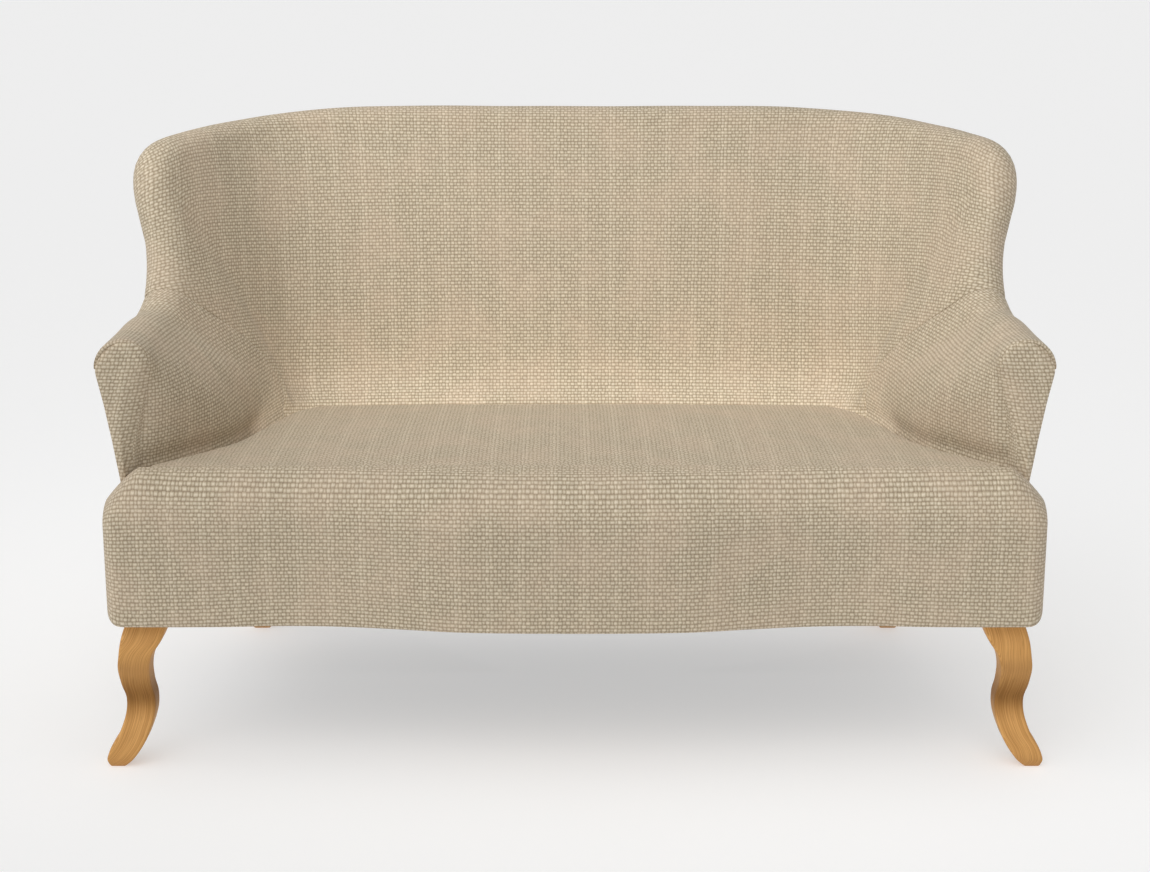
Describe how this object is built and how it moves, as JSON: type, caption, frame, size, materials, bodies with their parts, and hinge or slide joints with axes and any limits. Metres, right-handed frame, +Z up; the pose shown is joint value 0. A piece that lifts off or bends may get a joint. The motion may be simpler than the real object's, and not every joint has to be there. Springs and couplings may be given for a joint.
{
  "type": "high back settee",
  "caption": "Upholstered high back settee with a tight seat and back, curved wings, flared scroll arms, a bowed front rail and cabriole front legs.",
  "frame": {"origin": "centre of the underside of the four feet's footprint box, on the floor", "axes": "+X to the right as a person faces the settee, +Y towards its back, +Z up"},
  "size_m": [1.405, 0.7738, 0.9218],
  "materials": {
    "basket_weave": "chunky basket weave in beige and cream, matte",
    "oak": "honey oak, satin lacquer",
    "beech": "planed, unfinished",
    "zinc_steel": "zinc plated",
    "spring_steel": "oil tempered wire",
    "spring_cloth": "hessian",
    "elastic_webbing": "woven elastic strap",
    "dust_cloth": "black spun cloth"
  },
  "bodies": {
    "root": {"front_rail": "beech", "bow_block": "beech", "back_rail": "beech", "side_rail_left": "beech", "side_rail_right": "beech", "centre_rail": "beech", "corner_blocks": "beech", "leg_plates": "zinc_steel", "plate_screws": "zinc_steel", "leg_bolts": "zinc_steel", "front_leg_left": "oak", "front_leg_right": "oak", "rear_leg_left": "oak", "rear_leg_right": "oak", "arm_post_left": "beech", "arm_post_right": "beech", "arm_rail_left": "beech", "arm_rail_right": "beech", "wing_post_left": "beech", "wing_post_right": "beech", "wing_frame_left": "beech", "wing_frame_right": "beech", "top_rail": "beech", "back_post_left": "beech", "back_post_right": "beech", "back_post_centre": "beech", "back_tuck_rail": "beech", "arm_tuck_rail_left": "beech", "arm_tuck_rail_right": "beech", "seat_springs": "spring_steel", "spring_clips": "zinc_steel", "tie_wires": "spring_steel", "spring_cover": "spring_cloth", "back_webbing": "elastic_webbing", "seat_pad": "basket_weave", "front_border": "basket_weave", "inside_back": "basket_weave", "inside_arm_left": "basket_weave", "inside_arm_right": "basket_weave", "arm_facing_left": "basket_weave", "arm_facing_right": "basket_weave", "outside_arm_left": "basket_weave", "outside_arm_right": "basket_weave", "outside_back": "basket_weave", "dust_cover": "dust_cloth"}
  },
  "joints": []
}
